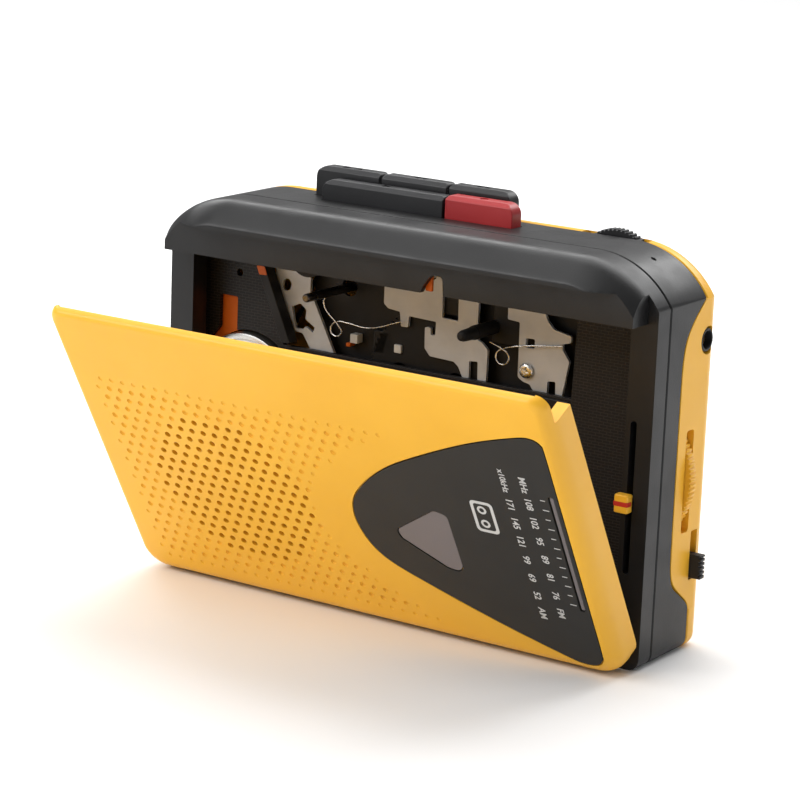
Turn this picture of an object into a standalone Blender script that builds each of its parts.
"""Portable cassette player with radio, standing on its long edge with the door open.

X runs along the player, the door faces -Y and the keys point up +Z. The origin is the
middle of the flat bottom. Sizes below are in millimetres and MM turns them into metres.
"""
import math

import bmesh
import bpy
from mathutils import Matrix, Vector

MM = 0.001
GAP = 0.3                    # clearance between pieces that touch

# the case
HALF_WIDTH = 60.0
HEIGHT = 83.0
FRONT = -21.3                # face of the closed door and of the brow above it
DOOR_SEAT = -18.8            # wall under the brow that the door closes on
POST_FACE = -13.0            # front of the side posts
FRONT_PARTING = -8.0         # front housing to middle frame
REAR_PARTING = 6.8           # middle frame to rear shell
BACK = 12.7
WALL = 2.2
BACK_WALL = 1.6
CORNER_RADIUS = 20.3         # top corners: an arc that meets the sides in a crease
FOOT_RADIUS = 2.5            # bottom corners
BROW_EDGE = 77.0             # lower edge of the brow

# the bay, which holds a compact cassette of 100.4 x 63.8 x 12 mm
BAY_HALF = 54.0
BAY_FLOOR = 2.7
BAY_TOP = 70.7
DECK = -6.0                  # face of the deck panel
DECK_BACK = -4.8

# the door
DOOR_LOW = 2.7
DOOR_HIGH = 76.6
DOOR_DEPTH = 8.0
DOOR_SKIN = 2.0
HINGE_Y = -11.9
HINGE_Z = 5.2
DOOR_OPEN = 29.75            # degrees between the open door and the closed one

# the drive
SPINDLE_X = 21.25
SPINDLE_Z = 35.5
MOTOR = (-43.6, 40.0)
MOTOR_RADIUS = 12.6
CAPSTAN = (-21.2, 65.0)
FLYWHEEL_RADIUS = 13.0
PULLEY_RADIUS = 3.2
BELT_RADIUS = 0.5
IDLER = (0.6, 48.6)
LOCATING_POST = (16.4, 62.4)
PLATE_SCREW = (25.5, 54.9)
CELL_RADIUS = 7.1
CELL_Z = 11.3
CELL_Y = 2.9

# controls on the right side and the top
TUNING = (45.4, 36.3)
TUNING_RADIUS = 16.0
JACK = (8.2, 64.6)
SWITCH = (7.2, 18.0)
VOLUME = (38.0, 75.4)
KEY_FRONT_ROW = (-1.5, 2.2)
KEY_BACK_ROW = (2.6, 6.2)
FRONT_KEY_TOP = 87.4
BACK_KEY_TOP = 89.4
KEY_FOOT = 76.6
KEYS = (
    ("key_stop", -33.5, -17.3, KEY_BACK_ROW, BACK_KEY_TOP, "key_black"),
    ("key_rewind", -16.7, -0.3, KEY_BACK_ROW, BACK_KEY_TOP, "key_black"),
    ("key_fast_forward", 0.3, 15.4, KEY_BACK_ROW, BACK_KEY_TOP, "key_black"),
    ("key_play", -29.0, 1.5, KEY_FRONT_ROW, FRONT_KEY_TOP, "key_black"),
    ("key_record", 2.1, 18.5, KEY_FRONT_ROW, FRONT_KEY_TOP + 0.4, "key_red"),
)

MATERIALS = {
    "black_plastic": ((0.028, 0.028, 0.030), 0.45, 0.0),
    "deck_black": ((0.020, 0.019, 0.019), 0.55, 0.0),
    "yellow_plastic": ((0.88, 0.50, 0.065), 0.42, 0.0),
    "key_black": ((0.022, 0.023, 0.025), 0.38, 0.0),
    "key_red": ((0.42, 0.030, 0.035), 0.35, 0.0),
    "scale_grey": ((0.048, 0.045, 0.043), 0.35, 0.0),
    "window_clear": ((0.16, 0.13, 0.13), 0.10, 0.0),
    "steel": ((0.55, 0.53, 0.50), 0.32, 1.0),
    "motor_steel": ((0.62, 0.61, 0.59), 0.25, 1.0),
    "brass": ((0.70, 0.50, 0.20), 0.30, 1.0),
    "rubber": ((0.020, 0.020, 0.020), 0.80, 0.0),
    "white_plastic": ((0.75, 0.74, 0.70), 0.45, 0.0),
    "copper": ((0.65, 0.30, 0.15), 0.35, 1.0),
    "ferrite": ((0.060, 0.055, 0.052), 0.60, 0.0),
    "board_green": ((0.030, 0.150, 0.060), 0.50, 0.0),
    "cell_wrap": ((0.080, 0.090, 0.110), 0.35, 0.0),
    "cone_paper": ((0.050, 0.050, 0.050), 0.80, 0.0),
}


# ---------------------------------------------------------------- scene and helpers

for old in list(bpy.data.objects):
    bpy.data.objects.remove(old, do_unlink=True)

parts = bpy.data.collections.new("cassette_player")
cutters = bpy.data.collections.new("cutters")
bpy.context.scene.collection.children.link(parts)
bpy.context.scene.collection.children.link(cutters)


def make_materials():
    made = {}
    for name, (colour, roughness, metallic) in MATERIALS.items():
        material = bpy.data.materials.new(name)
        material.use_nodes = True
        shader = material.node_tree.nodes["Principled BSDF"]
        shader.inputs["Base Color"].default_value = (*colour, 1.0)
        shader.inputs["Roughness"].default_value = roughness
        shader.inputs["Metallic"].default_value = metallic
        material.diffuse_color = (*colour, 1.0)
        made[name] = material
    return made


materials = make_materials()


def keep(name, mesh, material):
    """A named part from a mesh, in its own material and shaded smooth up to 35 degrees."""
    piece = bpy.data.objects.new(name, mesh)
    parts.objects.link(piece)
    mesh.materials.clear()
    mesh.materials.append(materials[material])
    mesh.shade_smooth()
    mesh.set_sharp_from_angle(angle=math.radians(35.0))
    return piece


def from_bmesh(name, bm):
    bmesh.ops.recalc_face_normals(bm, faces=bm.faces)
    mesh = bpy.data.meshes.new(name)
    bm.to_mesh(mesh)
    bm.free()
    return mesh


def box_mesh(name, xs, ys, zs, bevel=0.0, segments=2):
    """A block between three pairs of limits, with its edges rounded where bevel is given."""
    size = Vector((xs[1] - xs[0], ys[1] - ys[0], zs[1] - zs[0]))
    middle = Vector((xs[1] + xs[0], ys[1] + ys[0], zs[1] + zs[0])) / 2.0
    bm = bmesh.new()
    bmesh.ops.create_cube(bm, size=1.0)
    bmesh.ops.scale(bm, vec=size * MM, verts=bm.verts)
    if bevel:
        bmesh.ops.bevel(bm, geom=list(bm.edges), offset=bevel * MM, segments=segments,
                        profile=0.5, affect="EDGES")
    bmesh.ops.translate(bm, vec=middle * MM, verts=bm.verts)
    return from_bmesh(name, bm)


def turned_mesh(name, axis, centre, span, profile, sides=24):
    """A disc, cone or stepped shaft along an axis, from (position, radius) pairs."""
    bm = bmesh.new()
    rings = []
    for along, radius in profile:
        ring = []
        for step in range(sides):
            turn = 2.0 * math.pi * (step + 0.5) / sides
            ring.append(bm.verts.new((math.cos(turn) * radius * MM,
                                      math.sin(turn) * radius * MM, along * MM)))
        rings.append(ring)
    for lower, upper in zip(rings, rings[1:]):
        for step in range(sides):
            after = (step + 1) % sides
            bm.faces.new((lower[step], lower[after], upper[after], upper[step]))
    bm.faces.new(rings[0])
    bm.faces.new(rings[-1])
    turn = {"X": Matrix.Rotation(math.radians(90.0), 3, "Y"),
            "Y": Matrix.Rotation(math.radians(-90.0), 3, "X"),
            "Z": Matrix.Identity(3)}[axis]
    bmesh.ops.rotate(bm, cent=(0.0, 0.0, 0.0), matrix=turn, verts=bm.verts)
    place = {"X": (span, centre[0], centre[1]),
             "Y": (centre[0], span, centre[1]),
             "Z": (centre[0], centre[1], span)}[axis]
    bmesh.ops.translate(bm, vec=Vector(place) * MM, verts=bm.verts)
    return from_bmesh(name, bm)


def disc_mesh(name, axis, centre, limits, radius, sides=24):
    length = limits[1] - limits[0]
    return turned_mesh(name, axis, centre, limits[0], ((0.0, radius), (length, radius)), sides)


def loft_mesh(name, sections):
    """A closed skin through outlines of equal length in the XZ plane, one per Y."""
    bm = bmesh.new()
    rings = [[bm.verts.new((x * MM, y * MM, z * MM)) for x, z in outline]
             for y, outline in sections]
    for first, second in zip(rings, rings[1:]):
        for step in range(len(first)):
            after = (step + 1) % len(first)
            bm.faces.new((first[step], first[after], second[after], second[step]))
    bm.faces.new(rings[0])
    bm.faces.new(rings[-1])
    return from_bmesh(name, bm)


def prism_x_mesh(name, outline, xs):
    """A (y, z) outline drawn out along X."""
    mesh = loft_mesh(name, [(x, outline) for x in xs])
    for vertex in mesh.vertices:
        x, y, z = vertex.co
        vertex.co = (y, x, z)
    mesh.flip_normals()
    return mesh


def sheet_mesh(name, outlines, ys):
    """A flat sheet in the XZ plane between two Ys; outlines after the first are holes."""
    curve = bpy.data.curves.new(name, "CURVE")
    curve.dimensions = "2D"
    curve.fill_mode = "BOTH"
    curve.extrude = (ys[1] - ys[0]) / 2.0 * MM
    for outline in outlines:
        spline = curve.splines.new("POLY")
        spline.points.add(len(outline) - 1)
        for point, (x, z) in zip(spline.points, outline):
            point.co = (x * MM, z * MM, 0.0, 1.0)
        spline.use_cyclic_u = True
    holder = bpy.data.objects.new(name, curve)
    cutters.objects.link(holder)
    holder.rotation_euler = (math.radians(90.0), 0.0, 0.0)
    holder.location = (0.0, (ys[0] + ys[1]) / 2.0 * MM, 0.0)
    return mesh_of_curve(holder)


def mesh_of_curve(holder):
    """The welded mesh of a curve object, in place; the curve is removed."""
    bpy.context.view_layer.update()
    seen = holder.evaluated_get(bpy.context.evaluated_depsgraph_get())
    mesh = bpy.data.meshes.new_from_object(seen)
    mesh.transform(holder.matrix_world)
    bpy.data.objects.remove(holder, do_unlink=True)
    bm = bmesh.new()
    bm.from_mesh(mesh)
    bmesh.ops.remove_doubles(bm, verts=bm.verts, dist=0.002 * MM)
    bmesh.ops.recalc_face_normals(bm, faces=bm.faces)
    bm.to_mesh(mesh)
    bm.free()
    return mesh


def wire_mesh(name, points, radius, closed=False):
    """A round wire through points."""
    curve = bpy.data.curves.new(name, "CURVE")
    curve.dimensions = "3D"
    curve.bevel_depth = radius * MM
    curve.bevel_resolution = 0
    curve.use_fill_caps = not closed
    spline = curve.splines.new("POLY")
    spline.points.add(len(points) - 1)
    for point, place in zip(spline.points, points):
        point.co = (*(Vector(place) * MM), 1.0)
    spline.use_cyclic_u = closed
    holder = bpy.data.objects.new(name, curve)
    cutters.objects.link(holder)
    return mesh_of_curve(holder)


def cutter(mesh):
    tool = bpy.data.objects.new(mesh.name, mesh)
    cutters.objects.link(tool)
    tool.hide_render = True
    tool.display_type = "WIRE"
    return tool


def combine(piece, meshes, operation):
    for mesh in meshes:
        modifier = piece.modifiers.new(mesh.name, "BOOLEAN")
        modifier.operation = operation
        modifier.solver = "EXACT"
        modifier.object = cutter(mesh)


def cut(piece, *meshes):
    combine(piece, meshes, "DIFFERENCE")


def join(piece, *meshes):
    combine(piece, meshes, "UNION")


def circle(centre, radius, sides=20):
    return [(centre[0] + radius * math.cos(2.0 * math.pi * step / sides),
             centre[1] + radius * math.sin(2.0 * math.pi * step / sides))
            for step in range(sides)]


def rounded_box(xs, zs, low_radius, high_radius, steps=3):
    """An outline with one radius at its two lower corners and one at its two upper ones."""
    points = []
    corners = ((xs[1], zs[0], low_radius, -90.0), (xs[1], zs[1], high_radius, 0.0),
               (xs[0], zs[1], high_radius, 90.0), (xs[0], zs[0], low_radius, 180.0))
    for x, z, radius, start in corners:
        middle_x = x - math.copysign(radius, x - (xs[0] + xs[1]) / 2.0)
        middle_z = z - math.copysign(radius, z - (zs[0] + zs[1]) / 2.0)
        for step in range(steps + 1):
            turn = math.radians(start + 90.0 * step / steps)
            points.append((middle_x + radius * math.cos(turn),
                           middle_z + radius * math.sin(turn)))
    return points


def case_outline(inset=0.0, steps=6):
    """The case seen from the front, drawn in by inset all round."""
    side = HALF_WIDTH - inset
    radius = CORNER_RADIUS - inset
    arc_x = HALF_WIDTH - 17.3
    arc_z = HEIGHT - CORNER_RADIUS
    end = math.acos((side - arc_x) / radius)
    right = []
    foot = max(FOOT_RADIUS - inset, 0.3)
    for step in range(4):
        turn = math.radians(-90.0 + 30.0 * step)
        right.append((side - foot + foot * math.cos(turn),
                      inset + foot + foot * math.sin(turn)))
    for step in range(steps + 1):
        turn = end + (math.pi / 2.0 - end) * step / steps
        right.append((arc_x + radius * math.cos(turn), arc_z + radius * math.sin(turn)))
    left = [(-x, z) for x, z in reversed(right)]
    return right + left


# ---------------------------------------------------------------- the case

def wing_outline(grow):
    """The yellow wing on the right side, seen along X as (y, z)."""
    return [(REAR_PARTING + 2.0, 73.5 + grow), (REAR_PARTING - GAP / 2.0, 73.0 + grow),
            (-0.9 - grow, 66.0 + grow / 2.0), (-1.9 - grow, 61.0), (-1.9 - grow, 17.8),
            (-0.9 - grow, 15.4 - grow / 2.0), (5.4, 10.7 - grow), (REAR_PARTING, 8.4 - grow),
            (REAR_PARTING + 2.0, 8.4 - grow)]


def make_front_housing():
    sections = ((FRONT, 5.2), (-17.6, 1.4), (-15.8, 0.3), (-13.5, 0.0),
                (FRONT_PARTING - GAP / 2.0, 0.0))
    skin = loft_mesh("front_housing", [(y, case_outline(inset)) for y, inset in sections])
    housing = keep("front_housing", skin, "black_plastic")
    rim = sheet_mesh("bay_rim", [case_outline(WALL + GAP), case_outline(WALL + 1.3)],
                     (FRONT_PARTING - 1.0, DECK - GAP))
    join(housing, rim)
    cut(housing,
        loft_mesh("door_space", [(y, rounded_box((-60.8, 60.8), (-2.0, BROW_EDGE), 1.0, 3.4))
                                 for y in (FRONT - 1.0, DOOR_SEAT)]),
        box_mesh("below_seat", (-61.0, 61.0), (DOOR_SEAT - 1.0, POST_FACE), (-2.0, BAY_TOP)),
        box_mesh("door_side_left", (-62.0, -57.5), (DOOR_SEAT - 1.0, POST_FACE),
                 (BAY_TOP - 2.0, BROW_EDGE)),
        box_mesh("door_side_right", (57.5, 62.0), (DOOR_SEAT - 1.0, POST_FACE),
                 (BAY_TOP - 2.0, BROW_EDGE)),
        box_mesh("bay", (-BAY_HALF, BAY_HALF), (-17.2, DECK), (BAY_FLOOR, 76.2)),
        box_mesh("head_room", (-46.0, 46.0), (-16.6, DECK), (75.0, 79.4)),
        box_mesh("latch_notch", (9.4, 15.0), (DOOR_SEAT - 1.0, -16.8), (BAY_TOP - 1.0, 74.6)),
        box_mesh("pointer_slot", (55.1, 56.5), (POST_FACE - 1.0, DECK), (19.7, 51.0)),
        disc_mesh("pin_hole_left", "X", (HINGE_Y, HINGE_Z), (-57.8, -53.0), 1.2, 12),
        disc_mesh("pin_hole_right", "X", (HINGE_Y, HINGE_Z), (53.0, 57.8), 1.2, 12))


def make_middle_frame():
    frame = keep("middle_frame", sheet_mesh("middle_frame", [
        case_outline(0.0), case_outline(WALL)],
        (FRONT_PARTING + GAP / 2.0, REAR_PARTING - GAP / 2.0)), "black_plastic")
    for x, z in SCREWS:
        side = math.copysign(1.0, x)
        post = disc_mesh("screw_post", "Y", (x, z), (-4.4, REAR_PARTING - GAP / 2.0 - 0.01), 2.4, 12)
        web_end = side * (HALF_WIDTH - 1.0)
        web = box_mesh("screw_web", sorted((x, web_end)), (-4.4, 5.0), (z - 0.7, z + 0.7))
        join(frame, post, web)
        cut(frame, disc_mesh("screw_bore", "Y", (x, z), (-1.0, REAR_PARTING + 1.0), 1.1, 10))
    cut(frame, prism_x_mesh("wing_space", wing_outline(GAP + 0.15), (55.5, 61.0)),
        box_mesh("front_keys", (-29.3, 18.8), (KEY_FRONT_ROW[0] - GAP, 2.5),
                 (HEIGHT - 4.0, HEIGHT + 1.0)),
        box_mesh("back_keys", (-33.8, 15.7), (2.3, REAR_PARTING + 1.0),
                 (HEIGHT - 4.0, HEIGHT + 1.0)),
        disc_mesh("mic_hole", "Z", (51.2, -0.5), (HEIGHT - 8.0, HEIGHT + 1.0), 0.9, 10))


SCREWS = ((-54.5, 24.0), (-52.5, 70.5), (52.5, 70.8), (55.0, 7.0))


def rear_sections(inset, last):
    """Outlines from the rear parting to the back, where the edge rounds over."""
    steps = ((REAR_PARTING + GAP / 2.0, 0.0), (9.3, 0.1), (11.0, 0.7), (12.1, 1.9), (last, 3.8))
    return [(y, case_outline(inset + extra)) for y, extra in steps]


BATTERY_DOOR = (-50.0, 50.0)
BATTERY_DOOR_TOP = 20.0


def make_rear_shell():
    shell = keep("rear_shell", loft_mesh("rear_shell", rear_sections(0.0, BACK)),
                 "yellow_plastic")
    cut(shell, loft_mesh("rear_hollow", [
        (REAR_PARTING - 1.0, case_outline(WALL)), (9.6, case_outline(WALL)),
        (BACK - BACK_WALL, case_outline(WALL + 1.4))]))
    wing = prism_x_mesh("wing", wing_outline(0.0), (HALF_WIDTH - WALL, HALF_WIDTH))
    join(shell, wing)
    cut(shell,
        disc_mesh("jack_hole", "X", JACK, (55.0, 62.0), 3.0, 16),
        box_mesh("tuning_slot", (54.0, 62.0), (1.5, 4.5), (25.6, 47.0)),
        box_mesh("switch_slot", (54.0, 62.0), (5.9, 8.5), (14.9, 25.3)),
        box_mesh("volume_slot", (30.3, 45.7), (REAR_PARTING - 0.5, 9.8), (79.0, 85.0)),
        box_mesh("battery_opening", (BATTERY_DOOR[0] - GAP, BATTERY_DOOR[1] + GAP),
                 (BACK - BACK_WALL - 1.5, BACK + 1.0), (-1.0, BATTERY_DOOR_TOP + GAP)))
    for x, z in SCREWS:
        cut(shell, disc_mesh("screw_clear", "Y", (x, z), (9.0, BACK + 1.0), 2.3, 12))
    cover = keep("battery_cover", loft_mesh("battery_cover", rear_sections(0.0, BACK)),
                 "yellow_plastic")
    combine(cover, [box_mesh("cover_limits", BATTERY_DOOR, (BACK - BACK_WALL, BACK + 1.0),
                             (-1.0, BATTERY_DOOR_TOP))], "INTERSECT")


def make_screws():
    for number, (x, z) in enumerate(SCREWS, 1):
        screw = turned_mesh("case_screw", "Y", (x, z), 0.5, (
            (0.0, 0.7), (6.8 - 0.5 + GAP, 0.7), (9.2, 0.7), (9.3, 1.9), (10.6, 1.8), (10.8, 1.2)), 12)
        keep("case_screw_%d" % number, screw, "steel")


def make_deck_panel():
    panel = keep("deck_panel", sheet_mesh("deck_panel", [
        case_outline(WALL + 0.4),
        [(-42.2, 72.0), (-41.9, 68.0), (-34.6, 51.2), (37.2, 51.2), (38.2, 77.9), (-38.0, 77.9)],
        circle((-SPINDLE_X, SPINDLE_Z), 6.4, 16), circle((SPINDLE_X, SPINDLE_Z), 6.4, 16)],
        (DECK, DECK_BACK)), "deck_black")
    cut(panel,
        disc_mesh("motor_hole", "Y", MOTOR, (DECK - 1.0, DECK_BACK + 1.0), MOTOR_RADIUS + 0.4, 32),
        sheet_mesh("side_opening", [
            [(-52.0, 59.9), (-54.0, 50.3), (-54.0, 47.5), (-47.2, 49.0), (-47.2, 59.9)]],
            (DECK - 1.0, DECK_BACK + 1.0)),
        box_mesh("pointer_way", (54.8, 56.8), (DECK - 1.0, DECK_BACK + 1.0), (19.0, 52.0)))


# ---------------------------------------------------------------- the door

door_turn = bpy.data.objects.new("door_turn", None)
parts.objects.link(door_turn)
door_turn.location = (0.0, HINGE_Y * MM, HINGE_Z * MM)
door_turn.rotation_euler = (math.radians(DOOR_OPEN), 0.0, 0.0)


def hang(piece):
    """A door piece modelled closed, hung on the hinge and swung open."""
    piece.data.transform(Matrix.Translation((0.0, -HINGE_Y * MM, -HINGE_Z * MM)))
    piece.parent = door_turn
    for modifier in piece.modifiers:
        if modifier.object.parent is None:
            modifier.object.data.transform(
                Matrix.Translation((0.0, -HINGE_Y * MM, -HINGE_Z * MM)))
            modifier.object.parent = door_turn
    return piece


PLATE = ((5.7, 37.0), (8.9, 43.2), (17.0, 50.6), (28.5, 57.0), (40.5, 62.6), (52.0, 66.6),
         (55.4, 66.8), (57.2, 64.6), (57.2, 10.4), (56.0, 8.2), (53.0, 7.5), (48.8, 8.3),
         (34.8, 13.2), (20.4, 19.4), (11.0, 24.2), (6.6, 30.0))
TAPE_WINDOW = ((15.2, 34.0), (16.2, 36.0), (26.0, 42.0), (29.0, 41.4), (29.2, 27.2), (28.0, 25.8),
               (25.6, 26.0), (15.8, 31.8))
SCALE_WINDOW = ((55.1, 22.6), (56.5, 22.6), (56.5, 52.8), (55.1, 52.8))


def shrink(outline, amount):
    """An outline drawn in towards its middle by about amount."""
    middle_x = sum(x for x, z in outline) / len(outline)
    middle_z = sum(z for x, z in outline) / len(outline)
    drawn = []
    for x, z in outline:
        reach = math.hypot(x - middle_x, z - middle_z)
        keep_share = 1.0 - amount / reach
        drawn.append((middle_x + (x - middle_x) * keep_share,
                      middle_z + (z - middle_z) * keep_share))
    return drawn


def door_outline(side, low, high):
    return rounded_box((-HALF_WIDTH + side, HALF_WIDTH - side),
                       (DOOR_LOW + low, DOOR_HIGH - high), 4.0, 3.0)


def make_door():
    rear = FRONT + DOOR_DEPTH
    skin = loft_mesh("door_panel", [
        (FRONT, door_outline(2.3, 4.2, 0.9)), (FRONT + 0.5, door_outline(1.3, 2.8, 0.3)),
        (FRONT + 1.6, door_outline(0.6, 1.5, 0.0)), (FRONT + 4.0, door_outline(0.1, 0.3, 0.0)),
        (rear, door_outline(0.0, 0.0, 0.0))])
    door = keep("door_panel", skin, "yellow_plastic")
    inside = box_mesh("door_hollow", (-57.2, 57.2), (FRONT + DOOR_SKIN, rear + 1.0),
                      (DOOR_LOW + 2.2, DOOR_HIGH + 1.0))
    cut(door, inside, box_mesh("heel", (-61.0, 61.0), (rear - 2.2, rear + 1.0), (0.0, 6.0)),
        box_mesh("top_corner_left", (-61.0, -57.0), (DOOR_SEAT - 0.1, rear + 1.0), (70.3, 78.0)),
        box_mesh("top_corner_right", (57.0, 61.0), (DOOR_SEAT - 0.1, rear + 1.0), (70.3, 78.0)))
    for side in (-1.0, 1.0):
        ear = disc_mesh("ear", "X", (HINGE_Y, HINGE_Z), sorted((side * 50.4, side * 52.8)), 2.2, 16)
        arm = box_mesh("ear_arm", sorted((side * 50.4, side * 52.8)),
                       (FRONT + 1.2, HINGE_Y), (HINGE_Z - 0.5, HINGE_Z + 2.0))
        join(door, ear, arm)
        cut(door, disc_mesh("ear_bore", "X", (HINGE_Y, HINGE_Z), sorted((side * 49.0, side * 54.0)),
                            1.1, 12))
    cut(door, sheet_mesh("plate_pocket", [shrink(PLATE, -0.5)], (FRONT - 1.0, FRONT + 0.9)),
        sheet_mesh("tape_opening", [TAPE_WINDOW], (FRONT - 1.0, FRONT + DOOR_SKIN + 1.0)),
        sheet_mesh("scale_opening", [SCALE_WINDOW], (FRONT - 1.0, FRONT + DOOR_SKIN + 1.0)))
    for place in grille_holes():
        cut(door, disc_mesh("grille_hole", "Y", place, (FRONT - 1.0, FRONT + DOOR_SKIN + 1.0), 1.0, 6))
    hang(door)


def grille_holes(pitch=7.2, reach=19.0, centre=(-24.5, 35.5)):
    """Sound holes on a staggered grid inside a circle."""
    places = []
    for row in range(-3, 4):
        for column in range(-3, 4):
            x = (column + (row % 2) / 2.0) * pitch
            z = row * pitch * 0.866
            if math.hypot(x, z) <= reach:
                places.append((centre[0] + x, centre[1] + z))
    return places


def make_door_trim():
    plate = keep("scale_plate", sheet_mesh("scale_plate", [PLATE, TAPE_WINDOW, SCALE_WINDOW],
                                           (FRONT - 0.1, FRONT + 0.6)), "scale_grey")
    hang(plate)
    for name, outline in (("tape_window", TAPE_WINDOW), ("scale_window", SCALE_WINDOW)):
        hang(keep(name, sheet_mesh(name, [shrink(outline, 0.55) if name == "tape_window"
                                          else scale_lens()], (FRONT, FRONT + 1.6)),
                  "window_clear"))
    for name, side in (("tape_guide_left", -1.0), ("tape_guide_right", 1.0)):
        hang(keep(name, box_mesh(name, sorted((side * 51.2, side * 52.6)), (-19.0, -14.2),
                                 (10.0, 58.0), 0.4, 1), "deck_black"))
    strip = [(-14.0, -18.9), (-14.0, -18.5), (-6.0, -17.6), (6.0, -17.6), (14.0, -18.5),
             (14.0, -18.9), (6.0, -18.0), (-6.0, -18.0)]
    bow = loft_mesh("tape_spring", [(z, strip) for z in (50.0, 55.0)])
    for vertex in bow.vertices:
        x, y, z = vertex.co
        vertex.co = (x, z, y)
    bow.flip_normals()
    hang(keep("tape_spring", bow, "steel"))
    for name, side in (("hinge_pin_left", -1.0), ("hinge_pin_right", 1.0)):
        keep(name, disc_mesh(name, "X", (HINGE_Y, HINGE_Z), sorted((side * 49.8, side * 57.4)),
                             0.8, 12), "steel")


def scale_lens():
    return [(55.4, 22.9), (56.2, 22.9), (56.2, 52.5), (55.4, 52.5)]


# ---------------------------------------------------------------- keys and controls

def make_keys():
    for name, left, right, (front, back), top, material in KEYS:
        shape = box_mesh(name, (left, right), (front, back), (KEY_FOOT, top), 0.7)
        keep(name, shape, material)
    comb = [(-34.0, 66.0), (19.0, 66.0), (19.0, 68.2)]
    for name, left, right, row, top, material in reversed(KEYS[:3]):
        middle = (left + right) / 2.0
        comb += [(middle + 1.2, 68.2), (middle + 1.2, 72.4), (middle - 1.2, 72.4),
                 (middle - 1.2, 68.2)]
    comb += [(-34.0, 68.2)]
    keep("key_spring", sheet_mesh("key_spring", [comb], (4.2, 4.7)), "steel")


def make_volume_wheel():
    wheel = disc_mesh("volume_wheel", "Y", VOLUME, (7.3, 9.4), 9.0, 36)
    keep("volume_wheel", wheel, "key_black")
    keep("volume_pot", box_mesh("volume_pot", (33.0, 43.0), (3.2, 6.9), (69.6, 80.4), 0.4, 1),
         "steel")


def make_tuning():
    keep("tuning_wheel", disc_mesh("tuning_wheel", "Y", TUNING, (1.9, 4.1), TUNING_RADIUS, 40),
         "yellow_plastic")
    keep("tuning_capacitor", box_mesh("tuning_capacitor", (38.2, 52.6), (4.5, 9.4), (29.0, 43.6),
                                      0.5, 1), "white_plastic")
    pointer = keep("tuning_pointer", box_mesh("tuning_pointer", (53.6, 56.7), (-15.4, -13.3),
                                              (32.6, 36.4), 0.4), "yellow_plastic")
    join(pointer, box_mesh("pointer_stem", (55.4, 56.2), (-14.0, -4.3), (33.5, 35.5)))


def make_side_controls():
    keep("band_switch", box_mesh("band_switch", (52.6, 57.4), (5.0, 9.2), (12.6, 27.0)), "steel")
    knob = keep("band_knob", box_mesh("band_knob", (57.8, 62.6), (6.2, 8.2), (15.3, 20.4), 0.4, 1),
                "key_black")
    cut(knob, *[box_mesh("rib_gap", (62.1, 63.0), (5.0, 9.0), (z, z + 0.5))
                for z in (16.2, 17.2, 18.2, 19.2)])
    jack = keep("headphone_jack", box_mesh("headphone_jack", (45.0, 56.0), (5.7, 10.7),
                                           (61.8, 67.4)), "key_black")
    join(jack, disc_mesh("jack_nose", "X", JACK, (55.4, 59.8), 2.45, 16))
    cut(jack, disc_mesh("jack_bore", "X", JACK, (46.5, 61.0), 1.8, 16))
    keep("microphone", disc_mesh("microphone", "Z", (50.4, -0.5), (74.2, 77.2), 2.4, 16), "steel")


# ---------------------------------------------------------------- the mechanism

def ring_mesh(name, centre, ys, outer, inner, sides=24):
    return sheet_mesh(name, [circle(centre, outer, sides), circle(centre, inner, sides)], ys)


def make_plates():
    keep("mechanism_plate", sheet_mesh("mechanism_plate", [
        rounded_box((-30.2, 36.5), (20.4, 72.0), 2.0, 2.0, 2),
        circle(CAPSTAN, 2.0, 12)], (-1.2, -0.3)), "deck_black")
    left = [(-38.6, 68.6), (-38.4, 64.5), (-32.9, 54.2), (-31.0, 54.0), (-28.4, 50.2),
            (-22.4, 50.4), (-28.1, 61.2), (-29.3, 63.0), (-29.3, 68.8)]
    plate = keep("left_plate", sheet_mesh("left_plate", [left], (-4.2, -3.4)), "steel")
    cut(plate, sheet_mesh("left_plate_hole", [
        [(-34.0, 59.4), (-31.8, 60.4), (-30.2, 59.2), (-30.4, 57.2), (-27.9, 55.7), (-28.3, 54.5),
         (-30.3, 55.6), (-30.9, 54.9), (-32.8, 54.8), (-33.4, 56.4)]], (-5.0, -3.0)),
        sheet_mesh("left_plate_notch", [circle((-35.5, 63.9), 1.5, 14)], (-5.0, -3.0)))
    keep("guide_bar", sheet_mesh("guide_bar", [
        [(-41.5, 68.2), (-34.2, 52.0), (-31.8, 52.0), (-39.1, 68.2)]],
        (-7.6, -4.5)), "deck_black")
    right = [(20.3, 68.0), (20.3, 64.8), (23.2, 64.6), (23.3, 53.2), (24.6, 52.4), (26.2, 52.1),
             (27.2, 50.8), (30.4, 50.6), (30.4, 53.4), (32.3, 53.6), (32.4, 50.8), (33.9, 50.6),
             (35.3, 58.2), (33.6, 60.4), (33.5, 61.6), (35.5, 62.1), (35.5, 63.5), (31.3, 64.3),
             (29.7, 65.9), (28.9, 68.0)]
    keep("right_plate", sheet_mesh("right_plate", [
        right, circle(PLATE_SCREW, 1.2, 12),
        [(24.9, 59.6), (27.0, 59.6), (27.0, 61.6), (24.9, 61.6)]], (-4.2, -3.4)), "steel")
    screw = turned_mesh("plate_screw", "Y", PLATE_SCREW, -5.2, ((0.0, 1.0), (0.2, 1.6),
                                                               (0.7, 1.6), (0.75, 0.75),
                                                               (3.6, 0.75)), 12)
    keep("plate_screw", screw, "brass")
    post = turned_mesh("locating_post", "Y", LOCATING_POST, -16.0, (
        (0.0, 0.7), (1.0, 1.3), (5.0, 1.5), (14.4, 1.5)), 12)
    keep("locating_post", post, "deck_black")


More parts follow.
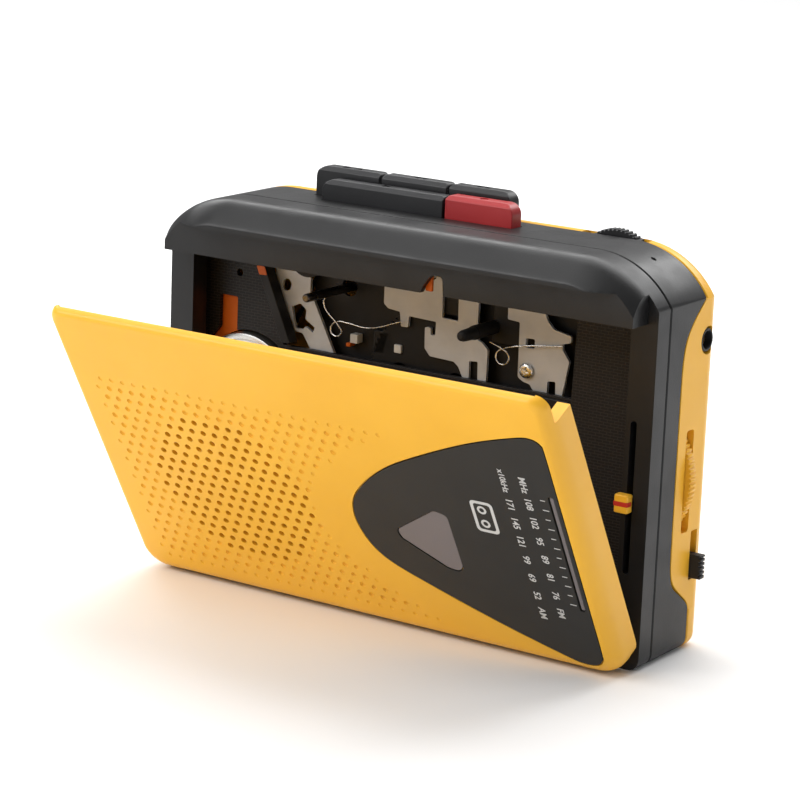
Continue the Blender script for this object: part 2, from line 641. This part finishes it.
def make_head_group():
    """The sliding plate that brings the heads down to the tape."""
    outline = [(-10.3, 77.4), (-10.3, 63.6), (-9.2, 62.7), (-6.2, 62.4), (-5.8, 59.3),
               (-4.0, 59.4), (-3.9, 61.8), (2.9, 61.6), (2.8, 58.7), (1.7, 58.6), (1.6, 60.2),
               (0.2, 60.1), (0.3, 55.6), (1.7, 54.1), (7.6, 53.9), (8.8, 53.0), (9.9, 50.9),
               (11.5, 50.7), (11.4, 54.6), (13.5, 54.8), (13.6, 50.9), (15.7, 50.7),
               (15.8, 57.6), (14.4, 58.9), (13.2, 59.4), (13.1, 70.0), (15.0, 70.2), (15.1, 77.5)]
    window = [(4.4, 62.7), (8.3, 62.6), (8.2, 70.5), (4.2, 70.4)]
    plate = keep("head_plate", sheet_mesh("head_plate", [outline, window], (-4.2, -3.4)), "steel")
    join(plate, box_mesh("head_shelf", (-7.0, 7.0), (-15.0, -3.8), (76.75, 77.3)))
    head = keep("tape_head", box_mesh("tape_head", (-6.0, 6.0), (-15.6, -8.6), (71.5, 76.45),
                                      0.8), "steel")
    head.data.materials[0] = materials["motor_steel"]
    outline = [(-36.0, 73.4), (-36.0, 75.8), (-33.5, 76.6), (-22.0, 75.6), (-20.6, 73.4),
               (-22.6, 71.8), (-33.0, 71.8)]
    arm = keep("pinch_arm", sheet_mesh("pinch_arm", [outline, circle((-34.0, 74.2), 1.1, 10)],
                                       (-8.6, -7.8)), "steel")
    join(arm, disc_mesh("pinch_axle", "Y", (-22.5, 73.6), (-16.0, -7.4), 0.7, 10))
    keep("pinch_roller", ring_mesh("pinch_roller", (-22.5, 73.6), (-15.4, -9.2), 4.6, 1.1, 20),
         "rubber")


def spindle_mesh(name, x):
    return turned_mesh(name, "Y", (x, SPINDLE_Z), -14.8, (
        (0.0, 1.6), (1.2, 2.6), (7.6, 3.0), (8.6, 5.6), (11.6, 5.6), (11.7, 8.6), (12.9, 8.6),
        (13.0, 2.0), (13.3, 2.0)), 24)


def make_drive():
    for name, x in (("supply_spindle", -SPINDLE_X), ("takeup_spindle", SPINDLE_X)):
        spindle = keep(name, spindle_mesh(name, x), "white_plastic")
        for fin in range(3):
            blade = box_mesh("fin", (-0.6, 0.6), (-13.6, -6.9), (1.0, 4.3))
            blade.transform(Matrix.Translation((x * MM, 0.0, SPINDLE_Z * MM))
                            @ Matrix.Rotation(math.radians(120.0 * fin), 4, "Y"))
            join(spindle, blade)
    keep("idler_wheel", turned_mesh("idler_wheel", "Y", IDLER, -3.0, (
        (0.0, 14.8), (1.1, 14.8), (1.2, 2.0), (1.5, 2.0)), 32), "rubber")
    motor = turned_mesh("motor", "Y", MOTOR, -7.8, (
        (0.0, MOTOR_RADIUS - 0.6), (0.6, MOTOR_RADIUS), (15.2, MOTOR_RADIUS), (15.3, 3.0),
        (15.9, 3.0)), 32)
    keep("motor", motor, "motor_steel")
    keep("motor_pulley", turned_mesh("motor_pulley", "Y", MOTOR, 8.4, (
        (0.0, 3.9), (0.5, PULLEY_RADIUS), (1.5, PULLEY_RADIUS), (2.0, 3.9)), 16), "brass")
    keep("flywheel", sheet_mesh("flywheel", [circle(CAPSTAN, FLYWHEEL_RADIUS, 36),
                                             circle(CAPSTAN, 1.4, 10)], (6.9, 10.4)), "brass")
    keep("capstan", turned_mesh("capstan", "Y", CAPSTAN, -17.4, ((0.0, 0.7), (0.4, 1.0),
                                                               (27.4, 1.0)), 12), "steel")
    keep("drive_belt", wire_mesh("drive_belt", belt_path(), BELT_RADIUS, True), "rubber")


def belt_path(y=9.4):
    """An open belt round the motor pulley and the flywheel."""
    small = PULLEY_RADIUS + 1.3
    large = FLYWHEEL_RADIUS + 0.9
    across = Vector((CAPSTAN[0] - MOTOR[0], CAPSTAN[1] - MOTOR[1]))
    heading = math.atan2(across.y, across.x)
    lean = math.acos((large - small) / across.length)
    points = []
    for step in range(13):
        turn = heading - (math.pi - lean) + 2.0 * (math.pi - lean) * step / 12.0
        points.append((CAPSTAN[0] + large * math.cos(turn), y, CAPSTAN[1] + large * math.sin(turn)))
    for step in range(7):
        turn = heading + (math.pi - lean) + 2.0 * lean * step / 6.0
        points.append((MOTOR[0] + small * math.cos(turn), y, MOTOR[1] + small * math.sin(turn)))
    return points


def make_wire_springs():
    """Two bent wires in front of the plates, each stepping back a little along its length."""
    left = [(-23.6, 63.4), (-24.3, 62.0), (-20.2, 57.4), (-19.6, 56.4), (-20.3, 55.4),
            (-21.6, 55.2), (-22.6, 56.2), (-22.2, 57.6), (-20.9, 58.3), (-18.6, 58.3),
            (-13.3, 58.0), (-5.0, 60.6)]
    right = [(17.6, 60.0), (20.6, 58.9), (21.7, 58.2), (22.1, 57.1), (21.5, 56.0), (20.3, 55.6),
             (19.1, 56.2), (18.8, 57.5), (19.6, 58.5), (21.6, 59.3), (25.6, 60.2), (34.2, 61.4)]
    for name, path in (("left_wire_spring", left), ("right_wire_spring", right)):
        points = [(x, -6.3 + 1.1 * step / (len(path) - 1), z)
                  for step, (x, z) in enumerate(path)]
        keep(name, wire_mesh(name, points, 0.24), "steel")


# ---------------------------------------------------------------- power, sound and radio

def make_power():
    for name, left in (("battery_cell_left", -52.4), ("battery_cell_right", -1.4)):
        cell = turned_mesh(name, "X", (CELL_Y, CELL_Z), left, (
            (0.0, CELL_RADIUS - 0.6), (0.4, CELL_RADIUS), (48.6, CELL_RADIUS),
            (49.2, CELL_RADIUS - 0.7), (49.3, 2.6), (50.6, 2.6)), 20)
        keep(name, cell, "cell_wrap")
    keep("battery_spring", wire_mesh("battery_spring", [
        (-53.0 - 0.11 * step, CELL_Y + (1.8 + 0.1 * step) * math.cos(step * math.pi / 4.0),
         CELL_Z + (1.8 + 0.1 * step) * math.sin(step * math.pi / 4.0)) for step in range(25)],
        0.25), "steel")
    keep("battery_contact", box_mesh("battery_contact", (49.6, 50.1), (-1.0, 6.8), (6.0, 16.4)),
         "steel")


def make_sound():
    centre = (-6.0, 38.0)
    keep("speaker", turned_mesh("speaker", "Y", centre, 0.4, (
        (0.0, 15.0), (1.0, 15.0), (1.1, 13.0), (4.6, 8.6), (8.6, 8.6), (9.0, 8.2)), 28),
        "motor_steel")
    keep("ferrite_rod", disc_mesh("ferrite_rod", "X", (3.0, 66.0), (21.0, 50.0), 2.2, 14),
         "ferrite")
    keep("main_board", box_mesh("main_board", (12.0, 56.2), (9.9, 10.8), (21.0, 60.6)),
         "board_green")


make_front_housing()
make_middle_frame()
make_rear_shell()
make_screws()
make_deck_panel()
make_door()
make_door_trim()
make_keys()
make_volume_wheel()
make_tuning()
make_side_controls()
make_plates()
make_head_group()
make_drive()
make_wire_springs()
make_power()
make_sound()
